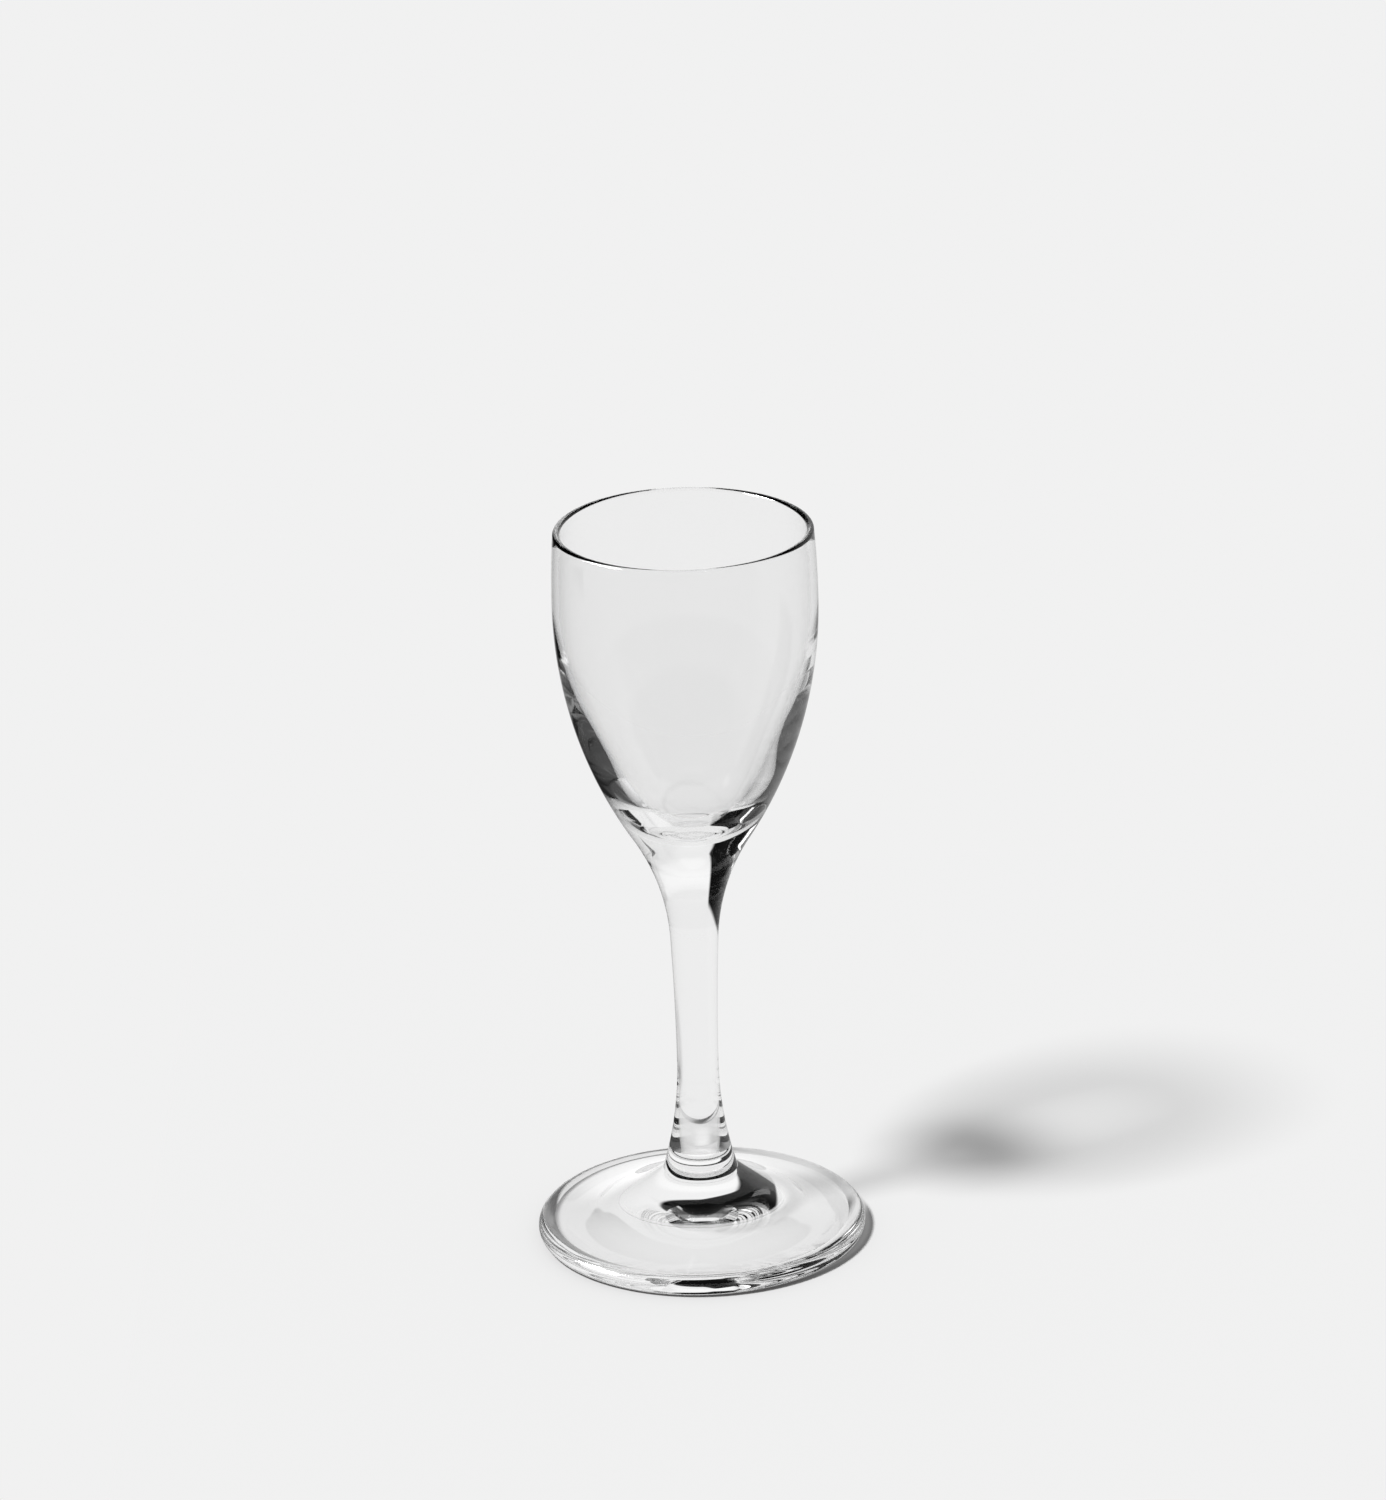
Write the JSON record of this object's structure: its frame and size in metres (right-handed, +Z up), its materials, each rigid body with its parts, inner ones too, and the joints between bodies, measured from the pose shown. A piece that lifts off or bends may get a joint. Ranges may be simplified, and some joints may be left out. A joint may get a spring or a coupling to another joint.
{
  "type": "cordial glass",
  "caption": "Small stemmed cordial glass: ovoid clear bowl on a solid drawn stem that stands on a round foot with a thick rounded rim.",
  "frame": {"origin": "centre of the ring that the foot rests on, on the table", "axes": "+Z up along the axis of the glass; X and Y are free, because the glass is round"},
  "size_m": [0.0528, 0.0528, 0.12],
  "materials": {
    "clear_glass": "fire-polished, smooth and clear"
  },
  "bodies": {
    "root": {"bowl": "clear_glass", "stem": "clear_glass", "foot": "clear_glass"}
  },
  "joints": []
}
